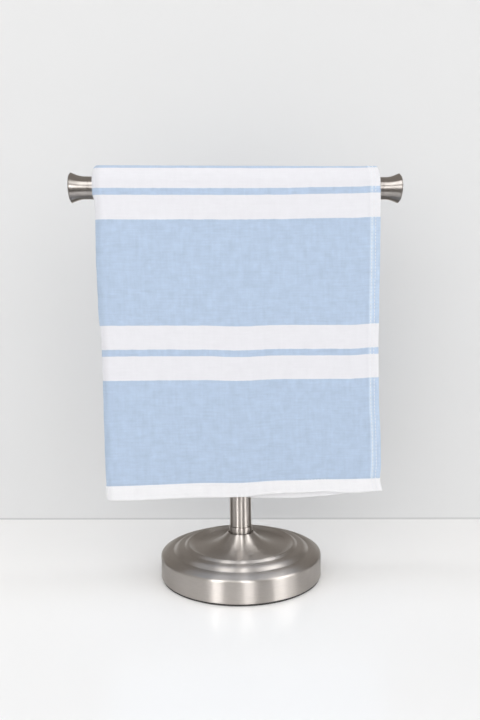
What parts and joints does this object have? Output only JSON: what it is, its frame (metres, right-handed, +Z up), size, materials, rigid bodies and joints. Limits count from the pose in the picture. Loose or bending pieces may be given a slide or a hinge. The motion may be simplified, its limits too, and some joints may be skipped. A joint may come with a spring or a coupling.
{
  "type": "hammam towel on a countertop towel stand",
  "caption": "Striped flat-woven hand towel, folded lengthwise and draped over the bar of a round-footed countertop towel stand with flared bar ends.",
  "frame": {"origin": "on the table, under the middle of the round foot", "axes": "+Z up, +X along the crossbar, the towel's front drop faces -Y"},
  "size_m": [0.2856, 0.14, 0.3555],
  "materials": {
    "towel_cotton": "soft matt cotton in a plain weave, pale blue with woven white stripes and white hemmed ends",
    "brushed_nickel": "brushed nickel, satin, with fine lines round the foot and along the bar",
    "pad_rubber": "matt black non-slip pad"
  },
  "bodies": {
    "root": {"towel": "towel_cotton", "crossbar": "brushed_nickel", "finial_left": "brushed_nickel", "finial_right": "brushed_nickel", "post": "brushed_nickel", "post_collar": "brushed_nickel", "base": "brushed_nickel", "base_pad": "pad_rubber"}
  },
  "joints": []
}
